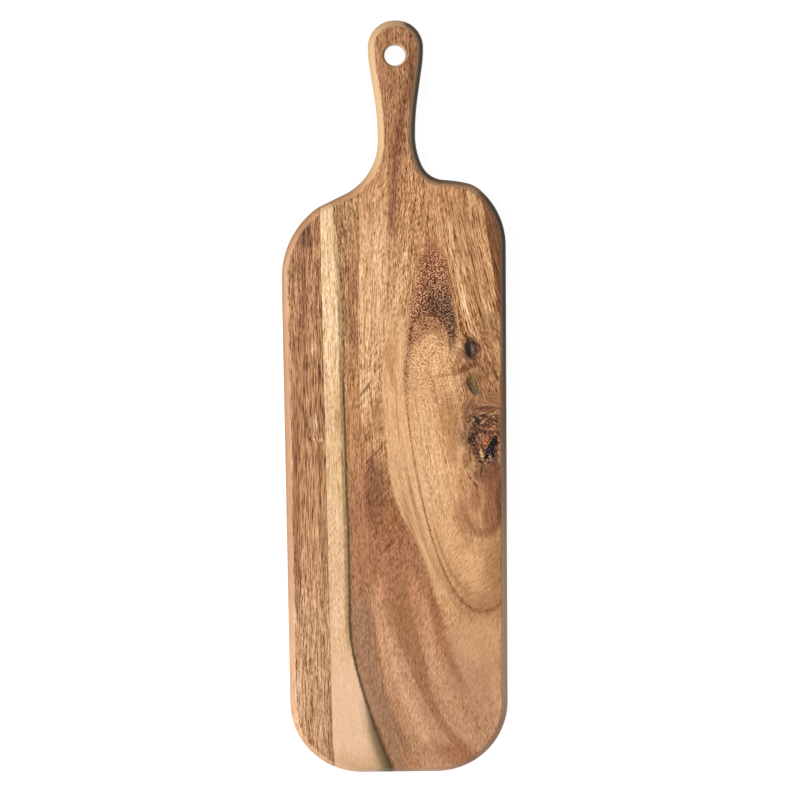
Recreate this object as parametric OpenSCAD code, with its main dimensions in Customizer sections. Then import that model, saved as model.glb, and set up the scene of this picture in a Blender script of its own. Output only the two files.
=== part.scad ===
// Paddle serving board: two planks glued edge to edge, shaped to one outline with a waisted
// handle, bevelled and eased along both faces, with a hanging hole and three knots grown through
// the wide plank. It lies flat, handle towards +Y, with the origin under the middle of its length
// and width.

/* [Board] */
// Length from the foot to the tip of the handle
board_l = 600; // [480:1:720]
// Width across the straight sides
board_w = 176; // [140:1:240]
// Thickness of the planks
board_t = 18; // [15:0.5:26]
// Width of the bevelled edge along both faces, seen from above
edge_w = 5.2; // [3:0.1:6]
// Slope of the bevel down from the face, in degrees
edge_slope = 42; // [25:1:50]
// Rounding between the bevel and the side
edge_r = 4; // [1:0.1:5]
// Rounding between the face and the bevel
arris_r = 0.9; // [0.3:0.1:2]
// Radius of the two corners at the foot
foot_r = 58; // [20:1:66]

/* [Handle] */
// How far the handle stands to the right of the board's middle
handle_offset = 3.3; // [-12:0.1:12]
// Width across the head of the handle
head_w = 43; // [36:0.1:50]
// Width across the neck, where the handle is narrowest
neck_w = 29.2; // [22:0.1:34]
// Distance from the tip to where the head starts to narrow
head_l = 28; // [26:0.5:40]
// Distance from the tip to where the head's taper meets the neck
taper_end = 73.6; // [60:0.1:80]
// Radius of the bend from the head's sides into the taper
head_side_r = 100; // [20:1:160]
// Radius of the hollow between the taper and the neck
waist_r = 200; // [60:1:220]

/* [Hanging hole] */
// Diameter of the hole
hole_d = 16; // [8:0.5:20]
// Distance from the tip to the hole's centre
hole_drop = 26.6; // [22:0.1:34]
// How far the hole stands to the right of the handle's middle
hole_offset = -0.5; // [-3:0.1:3]
// Width of the bevel round both ends of the hole
hole_bevel = 1.5; // [0.5:0.1:2.5]

/* [Shoulders] */
// Distance from the tip to where the neck starts to widen into the shoulders
shoulder_drop = 90; // [86:1:110]
// Height of the right shoulder, from the neck down to the straight side
right_shoulder_h = 84; // [60:1:120]
// Height of the left shoulder
left_shoulder_h = 106; // [80:1:140]

/* [Planks] */
// Width of the narrow plank at the height of the neck
narrow_neck_w = 30.5; // [20:0.5:40]
// Width of the narrow plank at the foot
narrow_foot_w = 34.2; // [20:0.5:44]
// Thickness of the glue film between the planks
glue_t = 0.3; // [0.1:0.05:0.6]

/* [Knots] */
// Width of the round knot
round_knot_w = 8; // [4:0.5:12]
// Length of the round knot along the grain
round_knot_l = 13; // [6:0.5:16]
// Distance from the right side to the round knot's centre
round_knot_inset = 28.6; // [20:0.1:40]
// Distance from the foot to the round knot's centre
round_knot_rise = 345; // [336:1:356]
// Width of the spike knot
spike_knot_w = 6; // [3:0.5:8]
// Length of the spike knot
spike_knot_l = 16; // [8:0.5:20]
// Lean of the spike knot from the grain, in degrees
spike_knot_lean = 24; // [0:1:45]
// Distance from the right side to the spike knot's centre
spike_knot_inset = 27.6; // [20:0.1:40]
// Distance from the foot to the spike knot's centre
spike_knot_rise = 316; // [308:1:324]
// Width of the branch knot
branch_knot_w = 23; // [18:0.5:26]
// Length of the branch knot along the grain
branch_knot_l = 35; // [28:0.5:42]
// Distance from the branch knot to where the rounded edge begins
branch_knot_margin = 0.3; // [0.1:0.1:12]
// Distance from the foot to the branch knot's centre
branch_knot_rise = 271; // [250:1:280]
// Depth of the resin poured into the branch knot
resin_depth = 9; // [3:0.5:11]
// Widest part of the resin
resin_w = 5; // [2:0.1:5.5]

/* [Hidden] */

// Corners of each shoulder from the neck outwards. A row holds its share of the shoulder's width,
// its share of the shoulder's height, and its rounding as a share of that height.
right_shoulder_shares = [
    [0, 0.12, 0.67],
    [0.14, 0.376, 0.245],
    [0.44, 0.396, 1.05],
    [0.655, 0.434, 0.29],
    [1, 0.705, 0.69]
];
left_shoulder_shares = [
    [0, 0.287, 0.44],
    [0.634, 0.503, 0.34],
    [1, 0.724, 0.64]
];

// The resin fills a long vein and a short one that forks off it. A row holds a place down the
// middle, as shares of the branch knot's width and length from its centre, and the width there as
// a share of the widest part.
long_vein_shares = [
    [0.43, 0.16, 0.3],
    [0.37, 0.03, 1],
    [0.25, -0.09, 1],
    [0.13, -0.21, 0.8],
    [0.07, -0.33, 0.5],
    [0.03, -0.44, 0.15]
];
short_vein_shares = [
    [0.27, -0.08, 0.5],
    [0.3, -0.2, 0.75],
    [0.29, -0.36, 0.3]
];

// Waviness of a knot's outline as shares of its radius, in two and in three waves round it
knot_wave_shares = [0.06, 0.05];

// Steps in a curve
facet_angle = 4;
edge_steps = 3;
arris_steps = 1;
knot_steps = 30;
bore_fn = 96;

tip_y = board_l / 2;
foot_y = -board_l / 2;
side_x = board_w / 2;
head_r = head_w / 2;
neck_y = tip_y - shoulder_drop;
hole_x = handle_offset + hole_offset;
hole_y = tip_y - hole_drop;
branch_knot_reach = branch_knot_w / 2 * (1 + knot_wave_shares.x + knot_wave_shares.y);
branch_knot_inset = edge_w + branch_knot_margin + branch_knot_reach;

// How far a cut runs past what it cuts
overrun = board_t / 4;
// Two points of the outline nearer than this are one point
least_gap = edge_w / 50;

function unit(v) = v / norm(v);
function turned(v, angle) = [
    v.x * cos(angle) - v.y * sin(angle),
    v.x * sin(angle) + v.y * cos(angle)
];
function place(corner) = [corner.x, corner.y];
function next(corners, i) = corners[(i + 1) % len(corners)];
function last(corners, i) = corners[(i + len(corners) - 1) % len(corners)];

// A corner is [x, y, radius]. Its turn is positive to the left.
function turn(corners, i) =
    let (
        before = unit(place(corners[i]) - place(last(corners, i))),
        after = unit(place(next(corners, i)) - place(corners[i]))
    )
    atan2(before.x * after.y - before.y * after.x, before * after);

// How far from its corner the rounding begins, if there is room for it
function reach(corners, i) = corners[i].z * tan(abs(turn(corners, i)) / 2);

// The reach that fits beside the roundings of the corners before and after
function fitted_reach(corners, i) =
    let (
        n = len(corners),
        here = reach(corners, i),
        edge_before = norm(place(corners[i]) - place(last(corners, i))),
        edge_after = norm(place(next(corners, i)) - place(corners[i]))
    )
    here * min(
        1,
        edge_before / (here + reach(corners, (i + n - 1) % n)),
        edge_after / (here + reach(corners, (i + 1) % n))
    );

// Points round one corner, each with the direction that points out of the board
function corner_arc(corners, i) =
    let (
        angle = turn(corners, i),
        t = fitted_reach(corners, i),
        r = t / tan(abs(angle) / 2),
        along = unit(place(corners[i]) - place(last(corners, i))),
        outward = [-along.y, along.x],
        hollow = sign(angle),
        start = place(corners[i]) - t * along,
        centre = start + hollow * r * outward,
        steps = max(2, ceil(abs(angle) / facet_angle))
    )
    [for (k = [0:steps])
        let (normal = turned(outward, angle * k / steps))
        [each centre - hollow * r * normal, normal]
    ];

// Corners of one shoulder, with side 1 on the right and -1 on the left
function shoulder(side, height, shares) =
    let (neck_x = handle_offset + side * neck_w / 2)
    [for (row = shares) [
        neck_x + (side * side_x - neck_x) * row.x,
        neck_y - height * row.y,
        height * row.z
    ]];

function handle_side(side) = [
    [handle_offset + side * head_r, tip_y, head_r],
    [handle_offset + side * head_r, tip_y - head_l, head_side_r],
    [handle_offset + side * neck_w / 2, tip_y - taper_end, waist_r]
];

function reversed(list) = [for (i = [len(list) - 1:-1:0]) list[i]];

// The board's corners clockwise from the tip: down the right side and up the left
corners = [
    each handle_side(1),
    each shoulder(1, right_shoulder_h, right_shoulder_shares),
    [side_x, foot_y, foot_r],
    [-side_x, foot_y, foot_r],
    each reversed(shoulder(-1, left_shoulder_h, left_shoulder_shares)),
    each reversed(handle_side(-1))
];

all_points = [for (i = [0:len(corners) - 1]) each corner_arc(corners, i)];

// The outline without points that fall together where two arcs meet
outline = [for (i = [0:len(all_points) - 1])
    if (norm(place(all_points[i]) - place(last(all_points, i))) > least_gap) all_points[i]
];

// The bevelled edge from the face to the side, as how far in from the side and how far below the
// face: an eased arris, the flat of the bevel, and the rounding into the side
arris_reach = arris_r * tan(edge_slope / 2);
round_in = edge_r * (1 - sin(edge_slope));
round_down = edge_r * cos(edge_slope);
bevel_down = (edge_w - round_in) * tan(edge_slope);
edge_profile = [
    for (k = [0:arris_steps])
        let (a = edge_slope * k / arris_steps)
        [edge_w + arris_reach - arris_r * sin(a), arris_r * (1 - cos(a))],
    for (k = [0:edge_steps])
        let (a = edge_slope + (90 - edge_slope) * k / edge_steps)
        [edge_r * (1 - sin(a)), bevel_down + round_down - edge_r * cos(a)]
];

// One ring of the skin, and all of them from the back up to the face
function ring(inset, height) = [for (p = outline) [each place(p) - inset * p.z, height]];
rings = [
    for (e = edge_profile) ring(e.x, e.y),
    for (e = reversed(edge_profile)) ring(e.x, board_t - e.y)
];

// Triangles between the right and left sides, from the tip down to the foot, taking the higher
// of the two next points each time
function ladder(i, j) =
    i + 1 == j ? []
    : outline[i + 1].y >= outline[j - 1].y
        ? [[i, i + 1, j], each ladder(i + 1, j)]
        : [[i, j - 1, j], each ladder(i, j - 1)];

// The whole shaped board before the planks, the hole and the knots are parted
module board_skin() {
    n = len(outline);
    top = (len(rings) - 1) * n;
    cap = ladder(0, n - 1);
    sides = [
        for (k = [0:len(rings) - 2], i = [0:n - 1])
            let (
                a = k * n + i,
                b = k * n + (i + 1) % n,
                c = b + n,
                d = a + n
            )
            each [[a, b, c], [a, c, d]]
    ];
    polyhedron(
        points = [for (r = rings) each r],
        faces = [
            each sides,
            for (t = cap) [for (v = t) top + v],
            for (t = cap) reversed(t)
        ]
    );
}

// Where the joint between the planks runs, at a height along the board
function joint_x(y) =
    -side_x + narrow_foot_w + (narrow_neck_w - narrow_foot_w) * (y - foot_y) / (neck_y - foot_y);

// Everything between two lines beside the joint, each given by its distance to the joint's right
module beside_joint(from, to) {
    low = foot_y - overrun;
    high = tip_y + overrun;
    translate([0, 0, -overrun])
        linear_extrude(board_t + 2 * overrun)
            polygon([
                [joint_x(low) + from, low],
                [joint_x(high) + from, high],
                [joint_x(high) + to, high],
                [joint_x(low) + to, low]
            ]);
}

module hanging_hole() {
    translate([hole_x, hole_y, -overrun])
        cylinder(d = hole_d, h = board_t + 2 * overrun, $fn = bore_fn);
    for (face = [0, 1])
        translate([hole_x, hole_y, face * board_t])
            mirror([0, 0, face])
                translate([0, 0, -overrun])
                    cylinder(
                        r1 = hole_d / 2 + hole_bevel + overrun,
                        r2 = hole_d / 2,
                        h = hole_bevel + overrun,
                        $fn = bore_fn
                    );
}

// The outline of a knot: an oval with a slow wave round it
module knot_outline(w, l) {
    polygon([for (k = [0:knot_steps - 1])
        let (
            angle = 360 * k / knot_steps,
            swell = 1 + knot_wave_shares.x * cos(2 * angle + 70) + knot_wave_shares.y * sin(3 * angle)
        )
        [w / 2 * cos(angle), l / 2 * sin(angle)] * swell
    ]);
}

// A knot runs straight through the board. Its pocket is the same shape, run past both faces.
module knot(w, l, lean, inset, rise, past = 0) {
    translate([side_x - inset, foot_y + rise, -past])
        rotate([0, 0, lean])
            linear_extrude(board_t + 2 * past)
                knot_outline(w, l);
}

module round_knot_shape(past = 0) {
    knot(round_knot_w, round_knot_l, 0, round_knot_inset, round_knot_rise, past);
}

module spike_knot_shape(past = 0) {
    knot(spike_knot_w, spike_knot_l, spike_knot_lean, spike_knot_inset, spike_knot_rise, past);
}

module branch_knot_shape(past = 0) {
    knot(branch_knot_w, branch_knot_l, 0, branch_knot_inset, branch_knot_rise, past);
}

// One vein of resin, from the face down to its depth
module vein(shares, past) {
    middle = [for (row = shares) [row.x * branch_knot_w, row.y * branch_knot_l]];
    half = [for (row = shares) row.z * resin_w / 2];
    end = len(middle) - 1;
    across = [for (i = [0:end])
        turned(unit(middle[min(i + 1, end)] - middle[max(i - 1, 0)]), 90)
    ];
    translate([side_x - branch_knot_inset, foot_y + branch_knot_rise, board_t - resin_depth])
        linear_extrude(resin_depth + past)
            polygon([
                for (i = [0:end]) middle[i] + half[i] * across[i],
                for (i = [end:-1:0]) middle[i] - half[i] * across[i]
            ]);
}

module resin_shape(past = 0) {
    vein(long_vein_shares, past);
    vein(short_vein_shares, past);
}

module narrow_stave() {
    color("#8a5c40")
        intersection() {
            board_skin();
            beside_joint(-board_w, -glue_t / 2);
        }
}

module wide_stave() {
    color("#b98a62")
        difference() {
            board_skin();
            beside_joint(-board_w, glue_t / 2);
            hanging_hole();
            round_knot_shape(overrun);
            spike_knot_shape(overrun);
            branch_knot_shape(overrun);
        }
}

module glue_line() {
    color("#4a3324")
        intersection() {
            board_skin();
            beside_joint(-glue_t / 2, glue_t / 2);
        }
}

module round_knot() {
    color("#3b302b")
        round_knot_shape();
}

module spike_knot() {
    color("#4b3428")
        spike_knot_shape();
}

module branch_knot() {
    color("#7a4a30")
        difference() {
            branch_knot_shape();
            resin_shape(overrun);
        }
}

module knot_resin() {
    color("#15110f")
        union() {
            resin_shape();
        }
}

narrow_stave();
wide_stave();
glue_line();
round_knot();
spike_knot();
branch_knot();
knot_resin();
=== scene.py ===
import math

import bpy
from mathutils import Matrix, Vector, noise
from mathutils.geometry import delaunay_2d_cdt, intersect_point_line


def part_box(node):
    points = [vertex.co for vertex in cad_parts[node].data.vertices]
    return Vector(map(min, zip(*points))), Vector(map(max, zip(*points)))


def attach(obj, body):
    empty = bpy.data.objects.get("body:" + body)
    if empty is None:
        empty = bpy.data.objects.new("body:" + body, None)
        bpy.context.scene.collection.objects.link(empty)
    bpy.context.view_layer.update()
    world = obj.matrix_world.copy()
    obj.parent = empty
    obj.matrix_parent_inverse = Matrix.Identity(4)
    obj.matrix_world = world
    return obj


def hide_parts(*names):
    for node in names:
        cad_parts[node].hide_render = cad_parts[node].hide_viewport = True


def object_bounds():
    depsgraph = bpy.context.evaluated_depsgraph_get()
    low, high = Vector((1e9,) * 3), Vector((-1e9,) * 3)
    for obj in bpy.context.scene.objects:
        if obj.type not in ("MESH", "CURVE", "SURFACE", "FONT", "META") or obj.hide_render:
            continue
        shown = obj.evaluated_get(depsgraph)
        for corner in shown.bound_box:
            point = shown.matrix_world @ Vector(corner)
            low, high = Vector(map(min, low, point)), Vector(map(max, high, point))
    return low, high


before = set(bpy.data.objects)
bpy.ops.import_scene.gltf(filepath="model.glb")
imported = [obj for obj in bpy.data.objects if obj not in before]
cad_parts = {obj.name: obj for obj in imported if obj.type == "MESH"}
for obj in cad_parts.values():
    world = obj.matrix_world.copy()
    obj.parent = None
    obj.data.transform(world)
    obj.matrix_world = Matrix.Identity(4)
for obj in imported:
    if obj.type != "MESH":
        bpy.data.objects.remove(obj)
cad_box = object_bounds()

MM = 0.001

# The board, from the frame
FOOT_Y = cad_box[0][1] / MM
BOARD_L = (cad_box[1][1] - cad_box[0][1]) / MM
BOARD_T = (cad_box[1][2] - cad_box[0][2]) / MM


def add_object(name, data):
    """A new object in the scene."""
    made = bpy.data.objects.new(name, data)
    bpy.context.collection.objects.link(made)
    return made


# Camera: an 85 mm lens about a metre and a half over the board, above the shoulders and tipped
# back towards the foot
SENSOR_MM = 36
LENS_MM = 85
EYE_MM = (3.74, 208.6, 1492.5)
PITCH = math.radians(7.836)
ROLL = math.radians(0.676)

camera = add_object("camera", bpy.data.cameras.new("camera"))
camera.data.sensor_width = SENSOR_MM
camera.data.lens = LENS_MM
camera.data.clip_start = 0.01
camera.matrix_world = (
    Matrix.Translation(Vector(EYE_MM) * MM)
    @ Matrix.Rotation(-PITCH, 4, "X")
    @ Matrix.Rotation(-ROLL, 4, "Z")
)
bpy.context.scene.camera = camera
bpy.context.scene.view_settings.view_transform = "Standard"


# Colours and nodes

def linear(colour):
    """An sRGB hex colour as linear RGBA."""
    shares = [int(colour[i:i + 2], 16) / 255 for i in (1, 3, 5)]
    return [c / 12.92 if c <= 0.04045 else ((c + 0.055) / 1.055) ** 2.4 for c in shares] + [1]


def put(kind, *values, tree=None, output=0, sockets=None, **settings):
    """Adds a node, such as "Bump" or "VectorMath ADD", with its settings. A kind all in capitals,
    such as "ADD", works on numbers. Values go to its sockets in order, and each is a number or a
    link. The tree can be left out where there is a link. Returns one of the node's outputs."""
    given = list(enumerate(values)) + list((sockets or {}).items())
    links = [value for _, value in given if isinstance(value, bpy.types.NodeSocket)]
    tree = tree or links[0].id_data
    kind, *operation = ("Math " + kind if kind.isupper() else kind).split()
    made = tree.nodes.new("ShaderNode" + kind)
    if operation:
        made.operation = operation[0]
    for name, value in settings.items():
        setattr(made, name, value)
    for key, value in given:
        if isinstance(value, bpy.types.NodeSocket):
            tree.links.new(value, made.inputs[key])
        else:
            made.inputs[key].default_value = value
    return made.outputs[output] if made.outputs else None


# A smooth step needs no clamp. A clamp is one more value for the renderer to hold.
EASED = {"interpolation_type": "SMOOTHSTEP", "clamp": False}


def rise(value, start, end):
    """0 before start and 1 after end, eased; it falls where end is the smaller number."""
    low, high, bottom, top = (start, end, 0, 1) if start < end else (end, start, 1, 0)
    return put("MapRange", value, low, high, bottom, top, **EASED)


def between(value, low, high, soft):
    """1 from low to high with soft ends."""
    up = rise(value, low - soft / 2, low + soft / 2)
    down = rise(value, high + soft / 2, high - soft / 2)
    return both(up, down)


def near(value, at, half, soft):
    """1 within half of a value, eased to 0 over soft."""
    off = put("ABSOLUTE", put("SUBTRACT", value, at))
    return rise(off, half + soft / 2, max(half - soft / 2, 0))


def both(*masks):
    """Where all of the masks are."""
    product = masks[0]
    for mask in masks[1:]:
        product = put("MULTIPLY", product, mask)
    return product


def either(first, second):
    """Where one or the other mask is."""
    return put("MAXIMUM", first, second)


def factor(amount, *masks):
    """1, but so much where all of the masks are."""
    return put("MapRange", both(*masks), 0, 1, 1.0, amount)


def speckle(where, size, detail, seed):
    """Noise from 0 to 1 whose blobs are so many millimetres across, along and deep."""
    moved = put("VectorMath MULTIPLY_ADD", where, [1 / s for s in size], [seed] * 3)
    return put("TexNoise", sockets={"Vector": moved, "Scale": 1.0, "Detail": detail})


def new_group(name, inputs):
    """A node group that turns a wood colour into another; its tree and its inputs by name."""
    tree = bpy.data.node_groups.new(name, "ShaderNodeTree")
    for label, kind in inputs.items():
        tree.interface.new_socket(label, in_out="INPUT", socket_type="NodeSocket" + kind)
    tree.interface.new_socket("Wood", in_out="OUTPUT", socket_type="NodeSocketColor")
    return tree, {socket.name: socket for socket in tree.nodes.new("NodeGroupInput").outputs}


def close_group(tree, wood, colour, amount):
    """Ends a group with the wood turned towards a colour."""
    mixed = put("Mix", sockets={0: amount, 6: wood, 7: colour}, output=2, data_type="RGBA")
    tree.links.new(mixed, tree.nodes.new("NodeGroupOutput").inputs[0])
    return tree


def make_patch_group():
    """A leaning oval patch of other wood, soft at its rim."""
    tree, given = new_group("patch of other wood", {
        "Wood": "Color", "Spot": "Vector", "Centre": "Vector", "Across": "Vector",
        "Along": "Vector", "Colour": "Color", "Strength": "Float"})
    offset = put("VectorMath SUBTRACT", given["Spot"], given["Centre"])
    across = put("VectorMath DOT_PRODUCT", offset, given["Across"], output=1)
    along = put("VectorMath DOT_PRODUCT", offset, given["Along"], output=1)
    size = put("VectorMath LENGTH", put("CombineXYZ", across, along), output=1)
    mask = put("MULTIPLY", rise(size, 1.15, 0.45), given["Strength"])
    return close_group(tree, given["Wood"], given["Colour"], mask)


def make_streak_group():
    """A streak of other wood beside a drawn line, faded out over its ends."""
    tree, given = new_group("streak of other wood", {
        "Wood": "Color", "Off": "Float", "Inner": "Float", "Outer": "Float", "Y": "Float",
        "Low": "Float", "High": "Float", "Fade": "Float", "Colour": "Color", "Strength": "Float"})
    off = put("ABSOLUTE", given["Off"])
    side = put("MapRange", off, given["Inner"], given["Outer"], 1.0, 0.0, **EASED)
    above = put("MapRange", given["Y"], given["Low"], put("ADD", given["Low"], given["Fade"]), **EASED)
    below = put("MapRange", given["Y"], put("SUBTRACT", given["High"], given["Fade"]),
                given["High"], 1.0, 0.0, **EASED)
    return close_group(tree, given["Wood"], given["Colour"],
                       both(side, above, below, given["Strength"]))


PATCH = make_patch_group()
STREAK = make_streak_group()


def new_material(name):
    material = bpy.data.materials.new(name)
    material.use_nodes = True
    material.node_tree.nodes.clear()
    return material, material.node_tree


# The figure of the wide plank, drawn as a maker would pencil it on the face. All of it is in
# millimetres on the board, x across and y along, from the middle.

# Growth lines that run the length of the plank: where each lies across it at each station
STATIONS_MM = (300, 240, 200, 170, 139, 100, 61, 21, -19, -67, -116, -157, -190, -240, -300)
GROWTH_LINES_MM = {
    "joint": (-58, -57.5, -57, -57, -57, -57, -56.5, -56.5, -56, -56, -55.5, -55.5, -55, -54.5, -53.5),
    "sapwood": (-49, -48, -48, -47.5, -45, -42, -41, -41, -40.5, -40, -39, -39, -38, -26.5, -5.5),
    "band": (-27, -27, -27, -26.5, -26, -27.5, -28.5, -28.5, -27.5, -25.5, -23, -20.5, -18, -11, 9),
    "middle": (-12, -9, -11, -13, -15, -17, -18.5, -19, -17, -13, -7.5, -0.5, 7, 26.5, 70),
    "rim_grain_and_shade": (2, 4, 3, 1, -1, -4, -7.5, -10, -8, -2.5, 18.5, 31.5, 41, 59, 99),
    "inner": (19, 17, 21, 25, 21, 18, 14, 10, 12, 21, 32, 48.5, 66, 86, 120),
    "right": (42, 40, 40, 42, 48.5, 57, 68, 84, 96, 104, 112, 120, 128, 136, 150),
}
# Distance across the grain from each line to the next, where the wood is widest
LINE_GAPS_MM = (15.5, 12.5, 9.5, 9, 20, 32)
# Counted so, the sapwood ends here, the brown band at 28, the heart at 47 and the pale strip
# beside the oval at 67
SAPWOOD_END = 15.8
# What a drawn line can reach across the board
CURVE_LOW_MM = -70
CURVE_SPAN_MM = 240

# Leaning ovals: centre, half width, half length and lean in degrees
PALE_OVAL_MM = ((50.5, -48), 34.5, 119, 10.2)
CROWN_MM = ((27.6, 48), 14.8, 23.5, 0)
HALO_MM = ((69, -52), 22, 55, 0)
CALM_WOOD_MM = ((62, -205), 30, 45, 0)

# Knots that the fibres part round: centre and reach
KNOTS_MM = [((59.4, 45), 9), ((60.4, 16), 10), ((69.7, -29), 17)]
PIN_KNOT_MM = ((-63, -24), 5)
# Share of the way that a fibre is pushed aside at a knot
PUSHED_ASIDE = 0.85
# Heart of the branch knot, and the length of an arc of one radian as the grain round it counts it
BRANCH_HEART_MM = (74, -24)
ARC_MM = 20

# Streaks of other wood: colour, strength, half its width, softness of its sides, and the
# points (x, y) that it runs through
STREAKS_MM = [
    # the dark streak down the neck and the red wood beside it
    ("#945c3b", 0.6, 4.5, 5.0, [
        (14, 256), (11.5, 237), (7, 219), (4, 199), (1.5, 175), (0, 158), (-2, 125)]),
    ("#6f4630", 0.62, 1.4, 2.0, [
        (13, 246), (9.5, 231), (5.5, 215), (2.5, 196), (1.5, 176), (0, 158), (-2, 125)]),
    ("#744828", 0.85, 3.2, 5.0, [(14, 292), (15.5, 285), (16, 272), (14, 252), (12, 228)]),
    ("#9c6f46", 0.6, 1.0, 1.6, [(-1, 148), (-2, 137), (-3.5, 114), (-4.5, 96), (-6.5, 66)]),
    ("#94653f", 0.5, 1.0, 1.4, [(12.5, 174), (14, 154), (15.5, 137), (17.5, 119), (17.5, 90)]),
    # pale stripe left of the flame
    ("#e8ba8d", 0.85, 2.4, 3.5, [(10, 136), (8, 120), (5.5, 101), (1, 80), (0, 52)]),
    # pale and olive stripes that sweep down to the right of the flame
    ("#dcae80", 0.75, 3.2, 4.5, [(40, 156), (44.5, 131), (48, 111), (52, 91), (55.5, 72), (58, 54)]),
    ("#8f6338", 0.6, 1.7, 2.6, [
        (54, 180), (55.5, 158), (58.5, 138), (62, 116), (65, 95), (68, 74), (79, 34)]),
    ("#dfb27c", 0.65, 2.6, 3.5, [(60, 178), (62, 158), (64, 140), (67, 122)]),
    ("#8b5f3b", 0.55, 0.7, 1.2, [(53.5, 100), (59.5, 76), (66, 60), (73.5, 44), (83, 20)]),
    # brown wood left of the knots
    ("#96673f", 0.6, 2.2, 4.0, [(50.5, 25), (53.5, 0), (56, -28)]),
    # sharp right edge of the feather
    ("#6d4329", 0.6, 0.6, 1.2, [(-12, -30), (-12, -59), (-11.5, -83), (-10, -120)]),
    # brown wood at the left of the pale strip, and a fine line within it
    ("#b3805a", 0.65, 2.4, 4.0, [(4, -60), (9.5, -91), (19, -122), (33, -150)]),
    ("#b58559", 0.75, 1.4, 2.4, [(7, -45), (9.5, -59), (17, -92), (28, -125), (41, -154)]),
    # foot: brown and pale stripes that follow the sapwood
    ("#a47b5e", 0.85, 5.5, 5.0, [
        (-30, -150), (-29, -165), (-26, -190), (-20.5, -213), (-12, -240), (-3.5, -263), (9, -294)]),
    ("#d5a47e", 0.75, 4.8, 5.5, [
        (-20, -138), (-16, -161), (-10.5, -190), (-3.5, -213), (3.5, -233), (10.5, -252),
        (20, -272), (31, -296)]),
    ("#875a3b", 0.65, 0.5, 0.9, [
        (-19, -150), (-18, -190), (-13.5, -215), (-11.5, -240), (-2, -262), (8.5, -298)]),
    ("#d8a27d", 0.7, 4.5, 5.0, [
        (18, -140), (21, -157), (25.5, -190), (33.5, -219), (45.5, -245), (64, -272)]),
    ("#aa6c48", 0.6, 3.4, 4.0, [
        (25, -142), (27.5, -153), (31.5, -175), (37, -195), (45.5, -214), (58, -242)]),
    # edge of the pale wood at the right of the foot
    ("#b98659", 0.6, 0.6, 1.2, [(83, -180), (82, -191), (80, -216), (75, -241), (66, -268)]),
]

# Brown wedge at the foot and flame over the oval, each between a left and a right line
FOOT_WEDGE_MM = (
    [(-9.5, -140), (-3, -173), (1.5, -194), (9.5, -213), (17, -232), (25, -247), (34.5, -264),
     (45, -278), (56, -292)],
    [(8.5, -140), (13.5, -174), (18.5, -194), (23, -213), (27, -232), (33, -247), (41, -261),
     (51, -274), (66, -292)],
)
FLAME_MM = (
    [(29, 140), (25, 126), (20.5, 114), (16.5, 96), (13.0, 76), (10, 50)],
    [(30, 140), (35, 126), (40, 114), (43.5, 96), (45.5, 80), (48, 60), (49, 40)],
)
# Line beyond which the right shoulder is red
RED_SHOULDER_MM = [(66, 180), (69.5, 162), (72.5, 146), (75.5, 124), (78.5, 103), (80.5, 79), (86, 50)]

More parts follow.
